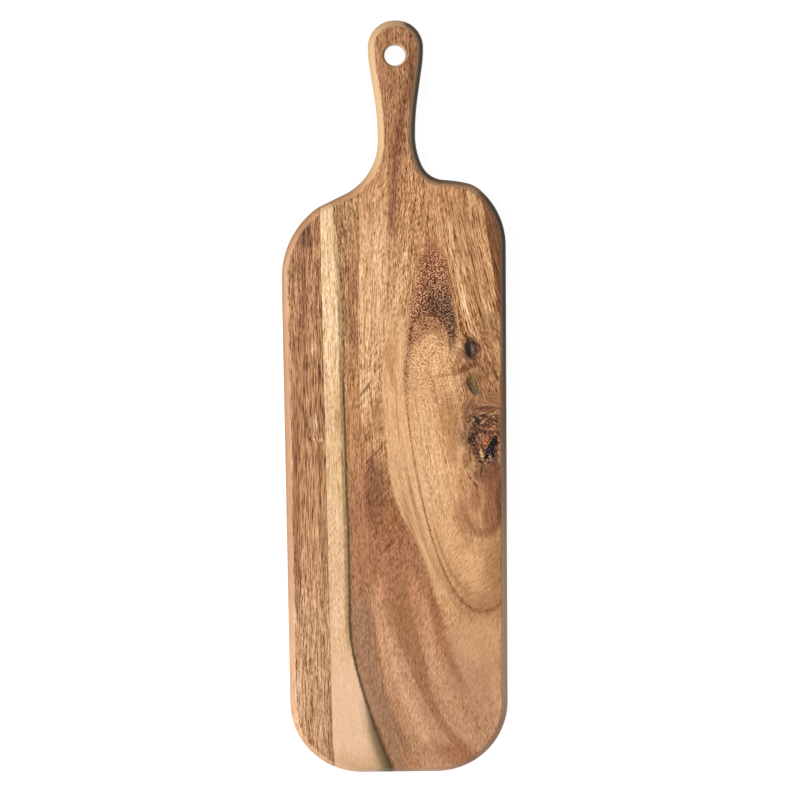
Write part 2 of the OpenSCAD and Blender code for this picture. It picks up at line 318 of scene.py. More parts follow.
# Patches of other wood: colour, strength, centre, half width, half length, and the lean in
# degrees of those that lean
PATCHES_MM = [
    # feather in the brown heart, and its barbs
    ("#a5734b", 0.75, (-23.5, -23), 6, 13, -20),
    ("#855539", 0.85, (-18.5, -66), 9, 36),
    ("#84543a", 0.85, (-22.5, 16), 1.3, 10.5, -35),
    ("#84543a", 0.75, (-17.5, -38), 1.4, 11.5, -45),
    ("#84543a", 0.55, (-21.5, -53), 1.3, 10, -45),
    ("#9d6c42", 0.6, (-3, -91), 7.5, 24, 12),
    ("#a46846", 0.6, (-5.5, -102), 13, 22),
    # rosy pale wood below it
    ("#d49a73", 0.7, (-14, -147), 6.5, 14),
    ("#cc9069", 0.6, (14, -150), 5.5, 20, 8),
    # lower right: tan wood under the oval, pale at the edge, brown at the corner
    ("#d8a87b", 0.7, (66, -190), 22, 24, 20),
    ("#ad7a57", 0.6, (29, -279), 12, 9),
    ("#d6a97c", 0.6, (80, -232), 6, 26, 8),
    ("#a66c49", 0.7, (47.5, -284), 19, 13, -10),
    # brown between the barbs
    ("#b07c52", 0.7, (-14, -6), 7, 22),
    ("#c39064", 0.6, (-12.5, 24), 5, 14),
    # dark fleck in the strip left of the flame
    ("#8a5c3a", 0.65, (7, 75), 1.6, 6),
    # pale left side of the oval
    ("#eabf90", 0.75, (24.5, -48), 8, 52, 7),
    # brown wood low at the right of the oval
    ("#875a3a", 0.7, (76, -87), 9, 22),
    ("#a4774e", 0.7, (78, -128), 11, 28),
    # brown wood round the knots, and darker by each of them
    ("#a06f49", 0.85, (69, 5), 23, 52),
    ("#b07c50", 0.75, (43, -10), 9, 26, 8),
    ("#b07b52", 0.7, (50, -90), 5, 16, 10),
    ("#7d4b34", 0.8, (59.6, 45), 8, 14),
    ("#7b4a33", 0.75, (55.5, 30), 3.2, 12, -62),
    ("#a87347", 0.6, (38, 25), 2.4, 9, -80),
    ("#8a5638", 0.8, (76, -62), 10, 17),
    ("#5f3826", 0.7, (82, -74), 4, 24),
    ("#a3744c", 0.7, (80, 62), 6, 18, 10),
    ("#94613f", 0.7, (51, 40), 3.5, 7),
    ("#c6946b", 0.85, (53, 63), 4.5, 9),
    ("#9a6b43", 0.6, (73, 64), 4, 14, 15),
    ("#9a6843", 0.8, (56, -42), 5, 9),
    ("#9f6a45", 0.7, (63, -74), 5, 12),
    ("#b07c52", 0.6, (56, -104), 5, 14, 10),
    ("#b88356", 0.6, (45, -36), 5, 14, 5),
    ("#c08d60", 0.6, (34, 12), 6, 12),
    ("#c18d5f", 0.7, (-2.5, 27), 2.6, 22, 14),
    ("#c48f60", 0.65, (-4, 42), 8, 15),
    ("#efc193", 0.6, (-20, 47), 2.4, 10),
    ("#bd8a5c", 0.6, (-28, 76), 3.5, 12),
    ("#9c6c48", 0.6, (-31.5, 121), 3, 16),
    ("#b9936a", 0.6, (-38, 140), 3, 12),
    ("#be8b63", 0.65, (18, 62), 4, 7),
    ("#deac80", 0.55, (49, 122), 2.5, 14, 10),
    ("#dcae7e", 0.65, (62.5, 147), 2.6, 13, 8),
    ("#a8744b", 0.75, (48, 31), 4, 8, -10),
    ("#b5855a", 0.6, (79, 27), 4, 12),
    ("#c29264", 0.7, (69, -113), 6, 10),
    # dark collars of the two upper knots
    ("#4d3124", 0.85, (59.8, 45.5), 7.2, 10),
    ("#7c5f3d", 0.8, (61.5, 17.5), 6.5, 11, 28),
    ("#8d6b42", 0.6, (64, 23), 6, 6, 40),
    # streaks that part round the two upper knots
    ("#7a4f30", 0.7, (66.4, 37.2), 0.8, 8.7, 13),
    ("#8a5c38", 0.6, (73.1, 36.3), 1.4, 15.1, 17),
    ("#6f4a2e", 0.6, (80.9, 14.8), 0.6, 5.7, 51),
    ("#8c5a35", 0.6, (77.9, 53.7), 1.2, 8.2, 25),
    ("#a97552", 0.6, (50.2, 27.9), 1.6, 7.4, 93),
    ("#7a4630", 0.75, (54.1, 31.0), 2.4, 5.1, -29),
    ("#7d4c36", 0.75, (64.0, 34.5), 1.7, 5.6, 44),
    ("#936049", 0.6, (66.5, 47.9), 2.8, 5.8, 30),
]

# Marks in and round the branch knot, in the same form
BRANCH_KNOT_MARKS_MM = [
    # dark wood all round it
    ("#75492f", 0.85, (73, -26), 18, 34),
    ("#7d5036", 0.75, (66, -52), 8, 12),
    ("#7d543a", 0.75, (58, -4), 6, 12, -20),
    ("#7a5236", 0.65, (54, -23), 5, 14),
    ("#5f3d2a", 0.8, (79, -46), 5, 12),
    # swirls over it
    ("#8a5f48", 0.75, (64.6, 0.6), 1.7, 8.3, 56),
    ("#b08a72", 0.6, (70.9, 1.8), 1.3, 10.9, 84),
    ("#7b5238", 0.7, (73.3, -1.1), 1.0, 11.9, 87),
    ("#8b6248", 0.8, (62.2, -9.3), 2.8, 8.9, -27),
    ("#7a5742", 0.75, (62.5, -13.3), 2.0, 8.7, -24),
    ("#d8b47e", 0.75, (68.5, -5.6), 1.0, 4.0, 100),
    ("#d8b47e", 0.8, (76.4, -6.1), 1.0, 5.4, 114),
    ("#6b4a2a", 0.6, (76.4, -3.9), 0.6, 5.3, 111),
    # its dark rim, red heart and black smudge
    ("#33241a", 0.9, (65.5, -12.0), 2.2, 7.5, 42),
    ("#3a281d", 0.85, (70.5, -7.8), 1.6, 6.0, 78),
    ("#6b3423", 0.8, (73.5, -17.5), 7.0, 6.5),
    ("#2b1a14", 0.9, (67.5, -18.5), 1.2, 3.4, 60),
    ("#2b1a14", 0.9, (74.0, -19.5), 1.0, 3.6, 20),
    ("#2b1a14", 0.85, (78.5, -20.5), 1.3, 3.8, 30),
    ("#d09a78", 0.8, (76.4, -15.5), 0.8, 3.4, 70),
    ("#4a3221", 0.9, (74.8, -11.5), 1.8, 8.0, 82),
    ("#c29a78", 0.7, (70.1, -11.4), 1.0, 5.3, 131),
    ("#b98060", 0.7, (74.0, -17.9), 1.7, 8.9, 86),
    ("#5c3727", 0.8, (70.0, -19.0), 1.4, 4.1, 104),
    ("#5c3727", 0.7, (74.4, -23.1), 1.1, 3.1, 9),
    ("#b5714a", 0.8, (70.8, -27.9), 3.6, 6.1, 9),
    ("#8f4f2f", 0.8, (70.0, -29.5), 1.2, 5.1, 78),
    ("#c68f6c", 0.6, (79.1, -22.8), 1.2, 3.8, 23),
    ("#33261f", 0.95, (60.5, -24.5), 3.2, 7.2, -34),
    ("#4b3c33", 0.7, (62.0, -29.8), 2.0, 4.9, -24),
    # upright bark lines and a pale fleck under the heart
    ("#6f3d27", 0.85, (58.4, -38.6), 0.8, 7.5),
    ("#7f472d", 0.85, (62.8, -37.4), 0.7, 6.0),
    ("#b27c62", 0.7, (60.4, -37.8), 1.3, 4.5),
    ("#dcb682", 0.85, (67.9, -38.3), 1.7, 6.2, 14),
    # the crack below it, painted near black as the shade inside it, with red wood to its right
    ("#835039", 0.85, (76.2, -53.7), 6.3, 8.1, 7),
    ("#24140d", 0.95, (65.7, -43.3), 1.0, 4.6, 44),
    ("#24140d", 0.9, (67.7, -50.8), 0.7, 7.6, -6),
    ("#a98a8c", 0.6, (74.7, -42.8), 0.9, 4.6, -7),
    ("#bd8f66", 0.7, (82.4, -36.0), 1.9, 12.1, -4),
    ("#b28a4e", 0.6, (57.2, -47.8), 1.7, 3.6, 33),
    ("#d3a36b", 0.7, (61.5, -47.9), 1.6, 6.1, 4),
    # red arcs under it
    ("#874a31", 0.8, (58.1, -56.5), 0.9, 4.6, 22),
    ("#874a31", 0.8, (63.0, -62.8), 0.9, 5.7, 51),
    ("#8a5034", 0.7, (63.5, -57.2), 0.9, 4.8, 18),
    ("#dba87e", 0.6, (62.8, -59.2), 0.7, 6.9, 43),
]


class Grain:
    """A material, the colour that stains are laid on, and coordinates in the wood, in
    millimetres: across, along and deep, with the slow wander that wood has. The figure leans as
    it goes down through the board."""

    def __init__(self, name, lean, colour):
        self.material, tree = new_material(name)
        self.colour = linear(colour)
        place = put("TexCoord", tree=tree, output=3)
        self.where = put("VectorMath SCALE", place, sockets={"Scale": 1 / MM})
        self.x, y, self.z = put("SeparateXYZ", self.where).node.outputs
        # The grain drifts by a millimetre and a half, and shivers and trembles by one
        slow = speckle(self.where, (38, 70, 30), 1, 5.2)
        fast = speckle(self.where, (6, 20, 9), 2, 1.2)
        fine = speckle(self.where, (2.2, 3.5, 3), 2, 3.1)
        drift = put("MULTIPLY_ADD", slow, 3.0, -1.5)
        shiver = put("MULTIPLY_ADD", fast, 2.2, -1.1)
        self.tremble = put("MULTIPLY_ADD", fine, 2.0, -1.0)
        self.y = put("MULTIPLY_ADD", self.tremble, 0.5, y)
        off_middle = put("ABSOLUTE", put("SUBTRACT", self.z, BOARD_T / 2))
        self.from_face = put("SUBTRACT", BOARD_T / 2, off_middle)
        below = put("SUBTRACT", BOARD_T, self.z)
        leaned = put("MULTIPLY_ADD", below, lean, self.x)
        self.across = put("ADD", put("ADD", drift, shiver), leaned)
        unsteady = put("MULTIPLY_ADD", shiver, 0.6, self.tremble)
        self.drawn = put("MULTIPLY_ADD", unsteady, 0.7, leaned)
        self.spot = put("CombineXYZ", put("MULTIPLY_ADD", unsteady, 0.8, self.x), self.y)
        # Torn grain: every mark in it is pulled out of shape by a millimetre or so
        pulled = put("VectorMath SCALE", self.where, sockets={"Scale": 1 / 1.9})
        pulled = put("TexNoise", sockets={"Vector": pulled, "Scale": 1.0, "Detail": 2}, output=1)
        pulls = put("SeparateColor", pulled).node.outputs[:2]
        pulled = put("CombineXYZ", *(put("MULTIPLY_ADD", pull, 3.2, -1.6) for pull in pulls))
        torn = put("VectorMath ADD", self.where, pulled)
        self.torn = put("VectorMath MULTIPLY", torn, (1, 1, 0))
        self.along = put("DIVIDE", put("SUBTRACT", self.y, FOOT_Y), BOARD_L)

    def line(self, points):
        """Where a drawn line lies across the board, all along it."""
        share = put("FloatCurve", sockets={"Value": self.along})
        curve = share.node.mapping
        drawn = curve.curves[0].points
        places = [((y - FOOT_Y) / BOARD_L, (x - CURVE_LOW_MM) / CURVE_SPAN_MM)
                  for x, y in sorted(points, key=lambda point: point[1])]
        drawn[0].location, drawn[-1].location = places[0], places[-1]
        for place in places[1:-1]:
            drawn.new(*place)
        curve.update()
        return put("MULTIPLY_ADD", share, CURVE_SPAN_MM, CURVE_LOW_MM)

    def lines_crossed(self, lines, across):
        """How far across the growth lines a point lies."""
        total = put("MAXIMUM", put("SUBTRACT", across, lines[-1]), 0.0)
        for line, following, gap in zip(lines, lines[1:], LINE_GAPS_MM):
            part = put("MapRange", across, line, following, 0.0, gap)
            total = put("ADD", total, part)
        return total

    def bent_round(self, x, knots):
        """The coordinate across, bent so that the fibres part and flow round each knot."""
        for (knot_x, knot_y), reach in knots:
            dx = put("SUBTRACT", x, knot_x)
            dy = put("SUBTRACT", self.y, knot_y)
            square = put("MULTIPLY_ADD", dx, dx, put("MULTIPLY", dy, dy))
            pull = put("EXPONENT", put("MULTIPLY", square, -1 / reach ** 2))
            x = put("MULTIPLY_ADD", put("MULTIPLY", dx, pull), -PUSHED_ASIDE, x)
        return x

    def out_of_oval(self, centre, half_width, half_length, lean, power, wander):
        """How far out of a leaning oval a point lies, 0 in its middle and 1 on its edge, and its
        distance from the long axis."""
        x = put("MULTIPLY_ADD", self.tremble, wander, self.x)
        dx = put("SUBTRACT", x, centre[0])
        dy = put("SUBTRACT", self.y, centre[1])
        angle = math.radians(lean)
        c, s = math.cos(angle), math.sin(angle)
        from_axis = put("MULTIPLY_ADD", dx, c, put("MULTIPLY", dy, s))
        from_waist = put("MULTIPLY_ADD", dy, c, put("MULTIPLY", dx, -s))
        shares = []
        for distance, half in ((from_axis, half_width), (from_waist, half_length)):
            share = put("MULTIPLY", put("ABSOLUTE", distance), 1 / half)
            shares.append(put("POWER", share, power))
        return put("POWER", put("ADD", *shares), 1 / power), from_axis

    def round_a_spot(self, centre):
        """The distance from a spot and how far round it, both in millimetres."""
        offset = put("VectorMath SUBTRACT", self.torn, (*centre, 0))
        dx, dy, _ = put("SeparateXYZ", offset).node.outputs
        radius = put("VectorMath LENGTH", put("CombineXYZ", dx, dy), output=1)
        turn = put("ARCTAN2", dy, put("MULTIPLY", dx, -1))
        return radius, put("MULTIPLY", turn, ARC_MM)

    def stain(self, colour, *masks):
        """Turns the wood towards a colour where all of the masks are."""
        self.colour = put("Mix", sockets={0: both(*masks), 6: self.colour, 7: linear(colour)},
                          output=2, data_type="RGBA")

    def fleck(self, amount):
        """Small torn flecks, dark and pale, as in the burr round a knot."""
        flecks = speckle(self.torn, (1.4, 2.0, 3), 2, 7.7)
        self.stain("#24150e", rise(flecks, 0.45, 0.36), amount)
        self.stain("#d9ab88", rise(flecks, 0.58, 0.67), amount, 0.75)

    def within(self, soft, left, right):
        """Where wood lies between two drawn lines."""
        from_left = put("SUBTRACT", self.drawn, self.line(left))
        from_right = put("SUBTRACT", self.line(right), self.drawn)
        return both(*(rise(side, -soft / 2, soft / 2) for side in (from_left, from_right)))

    def streak(self, streaks):
        """Lays on streaks from a table such as STREAKS_MM."""
        for colour, strength, half, soft, points in streaks:
            top, bottom = points[0][1], points[-1][1]
            self.colour = put("Group", node_tree=STREAK, sockets={
                "Wood": self.colour, "Off": put("SUBTRACT", self.drawn, self.line(points)),
                "Inner": max(half - soft / 2, 0), "Outer": half + soft / 2, "Y": self.y,
                "Low": bottom, "High": top, "Fade": min(24, (top - bottom) / 3),
                "Colour": linear(colour), "Strength": strength})

    def patch(self, patches, torn=False):
        """Lays on patches from a table such as PATCHES_MM."""
        for colour, strength, centre, half_width, half_length, *lean in patches:
            angle = math.radians(*lean) if lean else 0
            c, s = math.cos(angle), math.sin(angle)
            self.colour = put("Group", node_tree=PATCH, sockets={
                "Wood": self.colour, "Spot": self.torn if torn else self.spot, "Centre": (*centre, 0),
                "Across": (c / half_width, s / half_width, 0),
                "Along": (-s / half_length, c / half_length, 0),
                "Colour": linear(colour), "Strength": strength})


# White that the sheen adds to what the eye sees; the wood under it is that much darker
SHEEN = 0.01


def skin(colour, roughness, ior, height, depth_mm):
    """The outside of a piece: its gloss, and the relief that the light catches."""
    bump = put("Bump", sockets={"Strength": 1.0, "Distance": depth_mm * MM, "Height": height})
    shader = put("BsdfPrincipled", sockets={
        "Base Color": colour, "Roughness": roughness, "IOR": ior, "Normal": bump})
    put("OutputMaterial", shader)


def finish_wood(colour, roughness, height, depth_mm):
    """Oiled wood: a satin skin whose pores and fibres stand a little below it."""
    colour = put("Mix", sockets={0: 1.0, 6: colour, 7: [SHEEN] * 3 + [1]}, output=2,
                 data_type="RGBA", blend_type="SUBTRACT")
    skin(colour, roughness, 1.48, height, depth_mm)


def fibres(grain, place, fine_place, show, long_fibres, dots=None, dotted=None, curl=0.0,
           edge=True):
    """Adds streaks, fibres and pores along the grain, the sanded edge of a plank with its painted
    light and shade, and the oiled finish."""
    if edge:
        show = both(show, put("MapRange", grain.from_face, 0.1, 0.6, 1.0, 0.45))
    broad = speckle(place, (7, 260, 14), 2, 3.3)
    medium = speckle(place, (2.0, 70, 6), 2, 8.3)
    # Fibres and pores are a tenth to a third of a millimetre wide in the wood. They are drawn
    # three times as wide, so that they still show at arm's length.
    fine = speckle(fine_place, (0.5, 3.6, 1.5), 1, 2.3)
    hair = speckle(fine_place, (0.5, 15, 2), 1, 6.3)
    grainy = put("Mix", sockets={0: long_fibres, 2: fine, 3: hair})
    if dotted is not None:
        dots = put("MULTIPLY_ADD", dots, 0.52, 0.24)
        grainy = put("Mix", sockets={0: dotted, 2: grainy, 3: dots})

    def spread(noise, amount):
        return put("MULTIPLY", put("SUBTRACT", noise, 0.5), amount)

    total = put("ADD", spread(broad, 0.7), spread(medium, 1.0))
    # Two noises mixed evenly are fainter than one
    off_even = put("SUBTRACT", long_fibres, 0.5, tree=grain.x.id_data)
    off_even = put("ABSOLUTE", off_even)
    strength = put("MapRange", off_even, 0.0, 0.5, 7.0, 5.4)
    total = put("MULTIPLY", put("ADD", total, spread(grainy, strength)), show)
    total = put("ADD", total, curl)
    # Dark fibres are redder than pale ones
    tint = [put("MAXIMUM", put("MULTIPLY_ADD", total, swing, 1.0), least)
            for swing, least in ((0.78, 0.14), (1.0, 0.11), (1.3, 0.08))]
    tint = put("CombineColor", *tint)
    grain.colour = put("Mix", sockets={0: 1.0, 6: grain.colour, 7: tint}, output=2,
                       data_type="RGBA", blend_type="MULTIPLY")
    pores = speckle(fine_place, (0.6, 3.0, 1.5), 1, 6.1)
    open_pore = rise(pores, 0.36, 0.26)
    grain.stain("#5f3a24", open_pore, show, 0.4)
    if edge:
        # The bevel was cut and sanded after the face. Its colour carries painted light and shade:
        # paler and greyer than the face as a painted sheen, painted light at the top and low on the
        # right, browner at its outer rim partly from side grain and partly as painted shade, and
        # painted shade down the right side, away from the lamps, but not on the shoulder.
        bevel = both(rise(grain.from_face, 0.1, 0.7), rise(grain.y, -264, -234))
        top_end = rise(grain.y, 160, 195)
        # Painted sheen: the whole bevel turned paler and greyer
        grain.stain("#b98f70", bevel, 0.6)
        grain.stain("#a07550", bevel, between(grain.y, -160, 60, 90), 0.5)
        # Painted light along the top end
        grain.stain("#cbab80", bevel, top_end, 0.7)
        # Painted light low on the right side
        grain.stain("#e0bc95", bevel, rise(grain.x, 20, 60), rise(grain.y, 0, -180), 0.85)
        # Browner outer rim: partly side grain, partly painted shade
        rim_grain_and_shade = both(bevel, rise(grain.from_face, 1.6, 4.2))
        rim_grain_and_shade = both(rim_grain_and_shade, put("MapRange", grain.y, -120, 100, 0.25, 0.75))
        grain.stain("#86653f", rim_grain_and_shade, factor(0.3, top_end))
        # Painted shade down the right side, away from the lamps, but not on the shoulder
        not_the_shoulder = either(rise(grain.x, 60, 76), rise(grain.y, 166, 180))
        painted_shade_right = both(rise(grain.x, 8, 13), rise(grain.y, -140, 120), not_the_shoulder)
        grain.stain("#2c1c0e", rise(grain.from_face, 0.2, 3.4), painted_shade_right, 0.9)
    relief = speckle(grain.where, (0.5, 5, 2), 1, 2.3)
    roughness = put("MULTIPLY_ADD", medium, 0.16, 0.38)
    finish_wood(grain.colour, roughness, relief, 0.08)


class WidePlank(Grain):
    """The figure of the wide plank: cream sapwood by the joint, tan and brown heartwood that
    flows round a pale oval, a dark flame over it and brown rings round the knots. Its parts are
    laid on in the order of the methods."""

    def __init__(self):
        super().__init__("oiled acacia heartwood and sapwood", 0.55, "#c38f63")
        lines = [self.line(list(zip(xs, STATIONS_MM))) for xs in GROWTH_LINES_MM.values()]
        bent = self.bent_round(self.across, KNOTS_MM)
        self.fibre_growth = self.lines_crossed(lines, bent)
        self.growth = self.lines_crossed(lines, self.drawn)

    def heartwood(self):
        """Tan from the handle to the foot, with its bands, streaks and growth lines."""
        g, y = self.growth, self.y
        self.stain("#cf9f70", rise(y, 165, 60))
        self.stain("#c69572", rise(y, -150, -215))
        self.stain("#b07f58", rise(y, 172, 205))

        # Pale heartwood between the brown band and the middle line
        pale = both(between(g, 28, 47, 2.0), between(y, -2, 152, 60))
        self.stain("#d8ac7f", pale)
        # Brown band beside the sapwood, olive on the side next to it at the top
        self.stain("#b0855a", between(g, 14, 28, 1.2), rise(y, 20, 60))
        self.stain("#a06f4a", between(g, 21, 27.8, 2.4), between(y, 30, 120, 40))
        self.stain("#b88459", between(g, 14, 29, 3), rise(y, 60, 10))
        # Brown heart below it
        self.stain("#ad7855", between(g, 14, 46.6, 2), between(y, -180, -48, 60))
        # Pale strip at the left of the oval
        self.strip = both(between(g, 46.5, 67.5, 1.4), between(y, -148, 70, 50))
        self.stain("#e6b586", self.strip)

        # Fine growth lines left of the oval and of the flame
        rings = speckle(put("CombineXYZ", self.fibre_growth, y, self.z), (1.1, 190, 8), 1, 5.9)
        ringed = both(between(g, 33, 66, 6), between(y, -110, 150, 50))
        self.stain("#94633e", rise(rings, 0.54, 0.68), ringed, 0.5)

        self.streak(STREAKS_MM)
        self.stain("#a47b5e", between(g, 14, 27, 3), rise(y, -130, -175), 0.9)
        self.stain("#99694a", between(g, 14, 19, 4), rise(y, -245, -285), 0.8)
        foot = both(self.within(3.0, *FOOT_WEDGE_MM), rise(y, -140, -175))
        self.stain("#a16f4a", foot, 0.75)

        # The red shoulder
        past = put("SUBTRACT", self.drawn, self.line(RED_SHOULDER_MM))
        self.stain("#845636", rise(past, -0.8, 0.8), rise(y, 45, 85))
        self.stain("#6e4429", near(past, 0, 0.6, 1.2), rise(y, 80, 110))

    def pale_oval(self):
        """The oval, its rings and its brown border, with brown wood outside its lower end."""
        y = self.y
        self.dots = speckle(self.where, (1.05, 1.25, 2), 1, 2.2)
        self.oval, self.from_axis = self.out_of_oval(*PALE_OVAL_MM, power=2.4, wander=0.6)
        self.crown, _ = self.out_of_oval(*CROWN_MM, power=2.2, wander=0.35)
        self.inside = either(rise(self.oval, 1.015, 0.985), rise(self.crown, 1.02, 0.98))
        outside = both(between(self.oval, 1.0, 1.11, 0.06), rise(y, -100, -140))
        self.stain("#b8835c", outside, 0.7)
        self.stain("#e1af7f", self.inside)
        self.stain("#c08f60", self.inside, rise(self.drawn, 64, 84), rise(y, -60, -110))
        self.stain("#ad7d54", between(self.crown, 0.45, 1.0, 0.2), rise(y, 44, 58), 0.85)
        arch = both(near(self.crown, 0.72, 0.04, 0.1), rise(y, 50, 62))
        self.stain("#a8714c", arch, 0.7)
        self.stain("#75482f", arch, rise(self.dots, 0.54, 0.42), 0.6)
        self.stain("#cda378", near(self.crown, 0.965, 0.012, 0.04), rise(y, 40, 55), 0.7)
        self.stain("#a36f48", near(self.oval, 0.95, 0.035, 0.04), rise(y, -140, -160), 0.65)
        low_end = both(between(self.oval, 0.8, 0.97, 0.1), rise(y, -100, -150))
        self.stain("#bd8a62", low_end, 0.5)
        border = either(near(self.oval, 1.0, 0.014, 0.04),
                        both(near(self.oval, 1.0, 0.04, 0.1), rise(y, -20, 30)))
        plain = put("MapRange", y, -70, 0, 1.0, 0.55)
        self.stain("#a3734b", border, plain, 0.7)
        self.stain("#7d4728", border, rise(self.dots, 0.58, 0.42), 0.9)
        second = both(near(self.oval, 0.9, 0.015, 0.05), between(y, -160, -70, 40))
        self.stain("#b38058", second, 0.7)

    def red_flame(self):
        """The flame over the oval: red wood thick with dark pores, darkest at its root."""
        y = self.y
        over_oval = rise(self.oval, 0.99, 1.02)
        over_crown = rise(self.crown, 0.97, 1.02)
        over_oval = both(over_crown, either(over_oval, rise(self.drawn, 33, 37)))
        self.flame = both(self.within(9.0, *FLAME_MM), over_oval, rise(y, 48, 58), rise(y, 141, 111))
        core = both(self.within(4.0, *FLAME_MM), over_oval, between(y, 46, 92, 30),
                    rise(self.drawn, 19, 31))
        self.patch([("#a8704c", 0.75, (30, 102), 11.5, 36, 4)])
        self.stain("#a05c38", self.flame, 0.9)
        self.stain("#503a29", core, 0.9)
        self.stain("#401f12", self.flame, rise(self.dots, 0.51, 0.41),
                   put("MapRange", y, 70, 130, 0.95, 0.65))
        self.stain("#dba67c", self.flame, rise(self.dots, 0.52, 0.62),
                   put("MapRange", core, 0, 1, 0.75, 0.4))
        rim = both(near(self.crown, 1.08, 0.06, 0.1), rise(y, 42, 54))
        self.stain("#8f5a39", rim, 0.6)
        self.stain("#46291c", rim, rise(self.dots, 0.54, 0.42), 0.85)

    def patches(self):
        """The brown halo under the branch knot, and the patches all over the plank."""
        y = self.y
        halo, _ = self.out_of_oval(*HALO_MM, power=2.0, wander=1.6)
        self.stain("#b9845b", rise(halo, 1.08, 0.85), rise(y, -40, -66), 0.7)
        self.stain("#96643f", near(halo, 0.93, 0.06, 0.16), rise(y, -62, -90), 0.7)
        self.patch(PATCHES_MM)

    def sapwood(self):
        """Cream wood by the joint, the dark line that bounds it and its shade at the foot."""
        g, y = self.growth, self.y
        self.sap = rise(g, 16.0, 14.8)
        self.stain("#efcb9f", self.sap)
        self.stain("#e1ba8d", self.sap, between(y, -110, 30, 70), 0.9)
        self.stain("#e5bd93", self.sap, rise(y, -60, -130))
        self.stain("#edc5a2", self.sap, rise(y, -180, -230))
        self.stain("#cfa57c", self.sap, rise(y, -272, -298), 0.8)
        self.stain("#857250", between(g, 12.4, SAPWOOD_END, 4), rise(y, -225, -275), 0.75)
        self.stain("#a17f55", between(g, 12.4, SAPWOOD_END, 2.4), rise(y, 190, 60),
                   rise(y, -215, -170), 0.85)
        self.stain("#a0744c", between(g, 16, 19, 2), between(y, -120, 10, 40), 0.6)
        self.patch([
            ("#b8916a", 0.75, (-45.5, -10), 4, 10),
            ("#8a6a48", 0.85, (-54.3, -288), 2.0, 14),
        ])
        width = put("MULTIPLY_ADD", rise(y, -220, -280), 1.5, 1.0)
        off = put("ABSOLUTE", put("SUBTRACT", g, SAPWOOD_END))
        bound = put("MapRange", off, 0.35, put("MULTIPLY", width, 1.3), 1.0, 0.0)
        self.stain("#43361f", bound, put("MapRange", y, 10, 80, 0.85, 0.15))

    def burr(self):
        """Torn marks and flecks round the branch knot."""
        self.patch(BRANCH_KNOT_MARKS_MM, torn=True)
        self.knot_radius, self.knot_turn = self.round_a_spot(BRANCH_HEART_MM)
        self.fleck(put("MULTIPLY", rise(self.knot_radius, 32, 14), 0.6))

    def curl(self):
        """Short ripples that rise to the right, in the feather and low in the sapwood."""
        g, y = self.growth, self.y
        turned = put("VectorRotate", sockets={"Vector": self.where, "Angle": math.radians(42)},
                     rotation_type="Z_AXIS")
        ripple = speckle(turned, (1.5, 11, 8), 1, 4.4)
        feathered = both(between(g, 27, 46, 5), between(y, -120, 45, 50))
        low_sap = both(self.sap, between(y, -160, -78, 40))
        low_brown = both(between(g, 16, 60, 5), between(y, -260, -120, 60))
        curled = put("MULTIPLY_ADD", low_brown, 0.3, put("MULTIPLY_ADD", low_sap, 0.6, feathered))
        return put("MULTIPLY", put("SUBTRACT", ripple, 0.5), put("MULTIPLY", curled, 1.2))

    def strength(self):
        """How strongly the fibres show: most in the upper half, least in the sapwood at the foot."""
        g, y = self.growth, self.y
        calm, _ = self.out_of_oval(*CALM_WOOD_MM, power=2.0, wander=0)
        return both(
            put("MapRange", y, -90, 60, 0.55, 1.0),
            put("MapRange", y, -240, -150, 0.75, 1.0),
            factor(0.6, self.sap),
            factor(1.2, between(g, 27, 46, 3), between(y, -120, 40, 30)),
            factor(0.75, between(g, 27, 46, 3), rise(y, 60, 90)),
            put("MapRange", calm, 0.6, 1.1, 0.45, 1.0),
            factor(0.75, rise(self.oval, 1.0, 0.92), rise(y, 10, -40)),
            factor(0.45, self.strip),
            factor(0.75, between(g, 27, 46, 3), between(y, -190, -50, 30)),
            factor(0.8, between(self.x, -28, 8, 10), between(y, -20, 165, 30)),
            factor(0.5, self.sap, rise(y, -180, -220)),
        )

    def course(self):
        """How long the fibres are, and the coordinates that they and the pores follow."""
        y = self.y
        # Long and straight to the left, short in the middle
        long_fibres = put("MapRange", self.x, -30, 10, 0.5, 0.35)
        upper_right = both(rise(self.x, 25, 50), rise(y, 30, 90))
        long_fibres = put("MULTIPLY_ADD", upper_right, 0.3, long_fibres)
        long_fibres = both(long_fibres, put("MapRange", y, -120, -40, 0.6, 1.0))
        # In the oval they follow it
        ring = put("MULTIPLY", put("SIGN", self.from_axis), put("MULTIPLY", self.oval, PALE_OVAL_MM[1]))
        curved = both(rise(self.oval, 0.72, 0.92), rise(y, -150, -120))
        in_oval = put("Mix", sockets={0: curved, 2: self.from_axis, 3: ring})
        across = put("Mix", sockets={0: self.inside, 2: self.fibre_growth, 3: in_oval})
        # Over and round the branch knot they swirl
        swirl = rise(self.knot_radius, 36, 20)
        across = put("Mix", sockets={0: swirl, 2: across, 3: self.knot_radius})
        along = put("Mix", sockets={0: swirl, 2: y, 3: self.knot_turn})
        # In the handle and at the foot they run upright
        upright = put("ADD", self.across, 42)
        ends = either(rise(y, -90, -215), rise(y, 165, 200))
        upright = put("Mix", sockets={0: ends, 2: across, 3: upright})
        place = put("CombineXYZ", across, along, self.z)
        return long_fibres, place, put("CombineXYZ", upright, along, self.z)


def wide_plank_material():
    """Plain-sawn acacia, sanded and oiled: a cream, tan and brown figure that flows round a pale
    oval and round dark knots."""
    plank = WidePlank()
    plank.heartwood()
    plank.pale_oval()
    plank.red_flame()
    plank.patches()
    plank.sapwood()
    plank.burr()
    curl = plank.curl()
    show = plank.strength()
    long_fibres, place, fine_place = plank.course()
    # Pores lie thick in the upper oval and in the flame
    dotted = both(plank.inside, rise(plank.y, -40, 40), rise(plank.x, 54, 44))
    dotted = either(dotted, plank.flame)
    fibres(plank, place, fine_place, show, long_fibres, plank.dots, dotted, curl)
    return plank.material


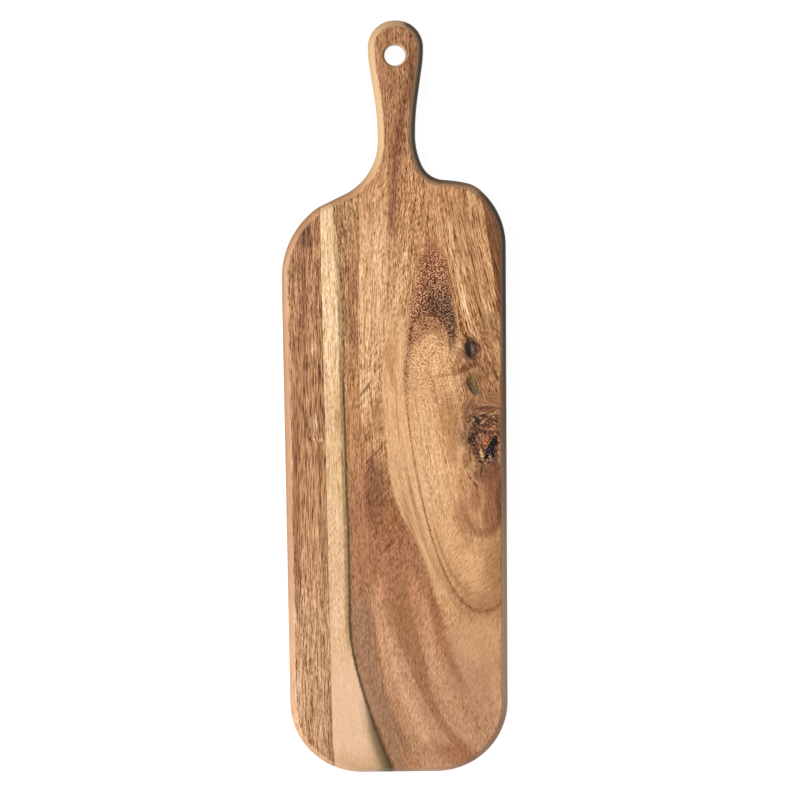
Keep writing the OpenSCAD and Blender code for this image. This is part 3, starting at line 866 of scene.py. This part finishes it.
def narrow_plank_material():
    """Straight-grained acacia heartwood, sanded and oiled: brown with close upright streaks."""
    grain = Grain("oiled acacia straight heartwood", 0.15, "#b8875e")
    y = grain.y
    grain.stain("#b5845c", rise(y, -20, 80))
    grain.stain("#c79b76", rise(y, -80, -170))
    grain.patch([
        # dark red wood under the left shoulder
        ("#6f4529", 0.8, (-69, 137), 6.5, 20),
        # pale pin knot with brown wood round it
        ("#8d5f42", 0.45, (-61.5, -36), 2.6, 10),
        ("#d9b48c", 0.6, (-64.5, -13), 4.5, 9),
        ("#e8bd9c", 0.9, (-61.5, -25), 6.0, 2.0, -12),
        ("#d3a27c", 0.7, (-65, -21.5), 4, 2.4),
        ("#7a4630", 0.75, (-67.8, -25), 1.4, 2.2),
    ])
    grain.streak([
        # dark edge beside the joint, pale wood left of it and dark streaks at the top
        ("#a57b54", 0.65, 1.4, 1.8, [(-59.4, -60), (-59.4, -90), (-59.0, -130), (-59, -175)]),
        ("#8a5c3c", 0.6, 0.7, 1.2, [(-55.6, -215), (-54.9, -262), (-54.4, -299)]),
        ("#c99a72", 0.55, 2.6, 4.0, [(-63.5, 112), (-64, 90), (-64.5, 40), (-65, -10)]),
        ("#8a5b3b", 0.75, 2.6, 4.5, [
            (-75.5, 140), (-76, 95), (-76, 40), (-77, 0), (-79.5, -60), (-80, -170)]),
        ("#87583a", 0.55, 1.2, 2.0, [(-72, 150), (-71, 90), (-71.5, 20), (-71, -60)]),
        ("#87583a", 0.45, 0.8, 1.5, [(-60, 140), (-60.5, 60), (-60, -80), (-60.5, -140)]),
    ])
    bent = grain.bent_round(grain.across, [PIN_KNOT_MM])
    place = put("CombineXYZ", bent, y, grain.z)
    show = put("MapRange", y, -150, 50, 0.9, 1.1)
    long_fibres = put("MapRange", between(y, -110, 50, 80), 0, 1, 0.6, 0.8)
    fibres(grain, place, place, show, long_fibres)
    return grain.material


def knot_material(name, dark, light, size_mm, marks, centre, show, flecks):
    """Hard, dense knot wood: mottled, with fibres that run round its heart."""
    grain = Grain(name, 0.0, dark)
    mottle = speckle(grain.where, size_mm, 3, 4.1)
    grain.stain(light, rise(mottle, 0.35, 0.65))
    grain.patch(marks, torn=True)
    grain.fleck(flecks)
    radius, turn = grain.round_a_spot(centre)
    place = put("CombineXYZ", radius, turn, grain.z)
    fibres(grain, place, place, show, 0.4, edge=False)
    return grain.material


def glue_material():
    """Cured wood glue pressed to a thin brown line, with the wood's dust in it."""
    grain = Grain("cured wood glue", 0.0, "#3a281b")
    dust = speckle(grain.where, (1, 9, 2), 2, 7.4)
    grain.stain("#6b5038", rise(dust, 0.4, 0.65))
    finish_wood(grain.colour, 0.5, dust, 0.02)
    return grain.material


def resin_material():
    """Black casting resin, poured and cured: glossy, with small ripples and a brown cloud."""
    grain = Grain("black casting resin", 0.0, "#070505")
    ripples = rise(speckle(grain.where, (1.1, 1.5, 2), 1, 9.2), 0.48, 0.68)
    cloud = speckle(grain.where, (2.5, 3, 3), 1, 1.9)
    grain.stain("#241a16", rise(cloud, 0.5, 0.7))
    skin(grain.colour, 0.08, 1.55, ripples, 0.3)
    return grain.material


def show_node(node, material):
    """Keeps a node of the frame, smooth along its rounded edges, in its own finish."""
    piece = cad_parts[node]
    piece.data.materials.clear()
    piece.data.materials.append(material)
    piece.data.shade_smooth()
    piece.data.set_sharp_from_angle(angle=math.radians(24))
    weigh = piece.modifiers.new("flat faces stay flat", "WEIGHTED_NORMAL")
    weigh.keep_sharp = True


show_node("wide_stave", wide_plank_material())
show_node("narrow_stave", narrow_plank_material())
show_node("glue_line", glue_material())
show_node("branch_knot", knot_material(
    "branch knot wood, red brown", "#5b3827", "#a06a49", (2, 3, 9), BRANCH_KNOT_MARKS_MM,
    BRANCH_HEART_MM, show=1.1, flecks=0.75))


# Pieces with more relief than the frame has: the two dead knots, which have shrunk below the
# face, and the resin, whose skin is sunk all round its rim

# Room between such a piece and its pocket
ROOM_MM = 0.05


def sides(outline):
    """Each point of a closed outline with the next one."""
    return zip(outline, outline[1:] + outline[:1])


def top_outline(node):
    """The outline of a node's top face, in order, in millimetres."""
    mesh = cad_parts[node].data
    found = {}
    for polygon in mesh.polygons:
        spots = [mesh.vertices[i].co / MM for i in polygon.vertices]
        if all(abs(spot.z - BOARD_T) < 0.01 for spot in spots):
            keys = [(round(spot.x, 3), round(spot.y, 3)) for spot in spots]
            found.update((side, True) for side in sides(keys))
    # A side that two faces share is found both ways, one on the outline only once
    following = {start: end for start, end in found if (end, start) not in found}
    outline = [next(iter(following))]
    while following[outline[-1]] != outline[0]:
        outline.append(following[outline[-1]])
    return outline


def shrunk(outline):
    """The outline moved inwards by the room it needs."""
    moved = []
    for before, here, after in zip(outline[-1:] + outline[:-1], outline, outline[1:] + outline[:1]):
        run = (Vector(after) - Vector(before)).normalized()
        moved.append(Vector(here) + Vector((-run.y, run.x)) * ROOM_MM)
    return moved


def relief_piece(node, name, material, step, height):
    """A closed piece in the place of a node, whose top follows height(x, y, distance in)."""
    outline = shrunk(top_outline(node))
    floor_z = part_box(node)[0].z / MM + ROOM_MM
    count = len(outline)
    left, foot = min(p.x for p in outline), min(p.y for p in outline)
    right, head = max(p.x for p in outline), max(p.y for p in outline)
    grid = [Vector((left + step * (i + 0.5 * (j % 2)), foot + step * j))
            for j in range(int((head - foot) / step) + 1)
            for i in range(int((right - left) / step) + 1)]

    def distance_in(spot):
        nearest = math.inf
        for start, end in sides(outline):
            touch, share = intersect_point_line(spot, start, end)
            touch = start if share < 0 else end if share > 1 else touch
            nearest = min(nearest, (spot - touch.to_2d()).length)
        return nearest

    spots = outline + [spot for spot in grid if distance_in(spot) > step * 0.5]
    border = [(i, (i + 1) % count) for i in range(count)]
    # 1 keeps the triangles inside the outline
    spots, _, faces, _, _, _ = delaunay_2d_cdt(spots, border, [list(range(count))], 1, 1e-6)
    top = [(p.x, p.y, height(p.x, p.y, distance_in(p))) for p in spots]
    rim = [min(range(len(spots)), key=lambda i: (spots[i] - p).length) for p in outline]
    base = len(top)
    bottom = [(p.x, p.y, floor_z) for p in outline]
    faces = [list(face) for face in faces]
    faces += [[rim[i], base + i, base + (i + 1) % count, rim[(i + 1) % count]] for i in range(count)]
    faces.append([base + i for i in reversed(range(count))])
    mesh = bpy.data.meshes.new(name)
    mesh.from_pydata([Vector(p) * MM for p in top + bottom], [], faces)
    mesh.validate()
    mesh.materials.append(material)
    mesh.shade_smooth()
    mesh.set_sharp_from_angle(angle=math.radians(50))
    piece = add_object(name, mesh)
    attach(piece, "root")
    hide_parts(node)


def eased(share):
    """A share from 0 to 1 with soft ends."""
    share = min(max(share, 0), 1)
    return share * share * (3 - 2 * share)


def dead_knot_top(x, y, distance):
    """A tenth of a millimetre down at the rim and half a millimetre in the middle, and rough."""
    rough = noise.noise(Vector((x / 1.3, y / 1.9, 4.0))) * 0.14
    return BOARD_T - 0.1 - (0.4 + rough) * eased(distance / 2.6)


def resin_top(x, y, distance):
    """A third of a millimetre down at the rim and nearly level inside, with dimples."""
    dimple = 0.5 + 0.5 * noise.noise(Vector((x / 1.7, y / 2.1, 8.0)))
    inside = eased(distance / 0.9)
    return BOARD_T - 0.05 - 0.3 * (1 - inside) - 0.12 * dimple * inside


round_knot_wood = knot_material(
    "dead knot wood, nearly black", "#2a1f19", "#40322a", (1.2, 1.8, 6), [
        # a painted highlight: grey crescent on the right inside of the knot
        ("#7a6b5c", 0.6, (60.6, 46.0), 1.2, 4.6, 8),
        ("#5a4030", 0.6, (62.3, 45.0), 1.0, 5.5),
        ("#1f1b18", 0.8, (58.6, 42.8), 1.8, 3.4),
    ], (59.5, 45), show=0.3, flecks=0.15)
spike_knot_wood = knot_material(
    "dead knot wood, olive brown", "#4a3526", "#71553a", (1.2, 2.5, 6), [
        ("#6f4d29", 0.85, (58.0, 20.6), 2.4, 4.0, 30),
        ("#8f7448", 0.75, (62.9, 17.5), 1.6, 7.0, 24),
        ("#7d6a5a", 0.7, (61.2, 13.4), 0.9, 5.0, 30),
        ("#22150e", 0.95, (58.4, 13.6), 1.1, 8.0, 26),
    ], (60, 16), show=0.3, flecks=0.15)
relief_piece("round_knot", "round_knot_worn", round_knot_wood, 0.6, dead_knot_top)
relief_piece("spike_knot", "spike_knot_worn", spike_knot_wood, 0.6, dead_knot_top)
relief_piece("knot_resin", "knot_resin_cured", resin_material(), 0.5, resin_top)


# Stage and light

def soft_light(name, place, size, watts, colour):
    """A softbox that faces the middle of the board."""
    lamp = bpy.data.lights.new(name, "AREA")
    lamp.shape = "RECTANGLE"
    lamp.size, lamp.size_y = size
    lamp.energy = watts
    lamp.color = linear(colour)[:3]
    holder = add_object(name, lamp)
    holder.location = place
    holder.rotation_euler = (-Vector(place)).to_track_quat("-Z", "Y").to_euler()


# A lit sheet of white acrylic, as a product is photographed on: plain, pale, and bright enough
# to give almost no shadow. It lies a tenth of a millimetre under the board's back.
SHEET_SIDES = ((-6, -6), (6, -6), (6, 6), (-6, 6))
SHEET_Z = -0.1 * MM

floor_mesh = bpy.data.meshes.new("floor")
floor_mesh.from_pydata([(x, y, SHEET_Z) for x, y in SHEET_SIDES], [], [(0, 1, 2, 3)])
floor = add_object("floor", floor_mesh)
floor_material, floor_tree = new_material("lit white acrylic")
acrylic = put("BsdfDiffuse", linear("#909090"), tree=floor_tree)
glow = put("Emission", linear("#ffffff"), 0.94, tree=floor_tree)
put("OutputMaterial", put("AddShader", acrylic, glow))
floor_mesh.materials.append(floor_material)

# Faint even light from all round
world = bpy.data.worlds.new("studio")
world.use_nodes = True
sky = world.node_tree.nodes["Background"]
sky.inputs["Color"].default_value = (1, 1, 1, 1)
sky.inputs["Strength"].default_value = 0.19
bpy.context.scene.world = world

soft_light("key", (-1.35, -0.05, 1.3), (1.3, 1.2), 30, "#fffaf4")
soft_light("bare lamp", (-0.95, 0.35, 1.5), (0.35, 0.35), 11, "#fffaf4")
soft_light("low strip", (-1.5, -0.4, 0.18), (1.6, 0.3), 7, "#ffffff")
